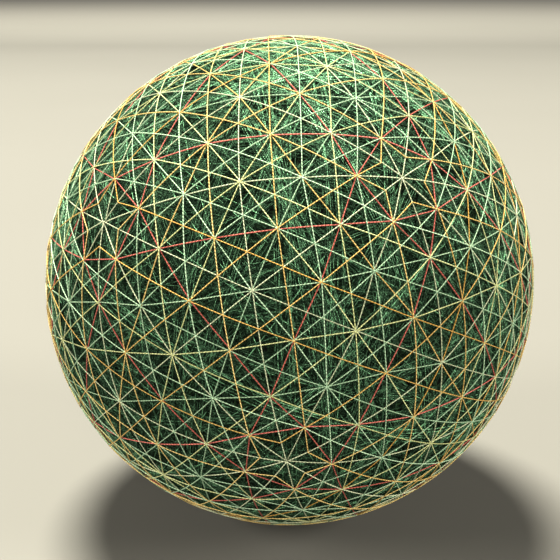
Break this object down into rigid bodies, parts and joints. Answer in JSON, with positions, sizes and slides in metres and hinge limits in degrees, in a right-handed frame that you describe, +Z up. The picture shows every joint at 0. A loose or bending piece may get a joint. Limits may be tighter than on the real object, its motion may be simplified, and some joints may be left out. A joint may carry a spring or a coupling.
{
  "type": "temari ball",
  "caption": "Wound thread ball with a raised geodesic net of stitched coloured threads and a small flat spot to rest on.",
  "frame": {"origin": "middle of the flat spot under the ball, on the surface it rests on", "axes": "+Z up; the side that faces the picture's camera faces -Y, with +X to its right"},
  "size_m": [0.09, 0.09, 0.0892],
  "materials": {
    "ground_thread": "matte",
    "cream_thread": "satin",
    "straw_thread": "satin",
    "gold_thread": "satin",
    "coral_thread": "satin",
    "mint_thread": "satin"
  },
  "bodies": {
    "root": {"ball": "ground_thread"}
  },
  "joints": []
}
